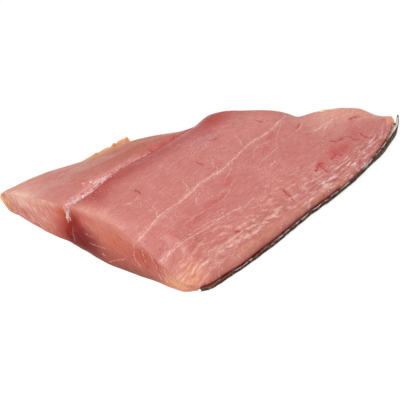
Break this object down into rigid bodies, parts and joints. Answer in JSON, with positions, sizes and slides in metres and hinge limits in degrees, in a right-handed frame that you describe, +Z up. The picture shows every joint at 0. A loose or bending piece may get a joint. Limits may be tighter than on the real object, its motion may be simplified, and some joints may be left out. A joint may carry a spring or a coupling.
{
  "type": "raw mahi-mahi fillet",
  "caption": "Thick skin-on piece of raw fish fillet, pink flesh with a dark seam, a thin belly flap and a knife-cut end, lying skin down.",
  "frame": {"origin": "under the middle of the bounding box, on the surface that the skin lies on", "axes": "+X along the fish from the knife cut to the far tip, +Y across it from the dark back edge to the belly tip, +Z up"},
  "size_m": [0.2604, 0.1752, 0.0304],
  "materials": {
    "flesh": "wet raw fish muscle, pink, cut with a knife",
    "skin": "wet fish skin, dark olive on the back and silver to gold on the belly"
  },
  "bodies": {
    "root": {"flesh": "flesh", "skin": "skin"}
  },
  "joints": []
}
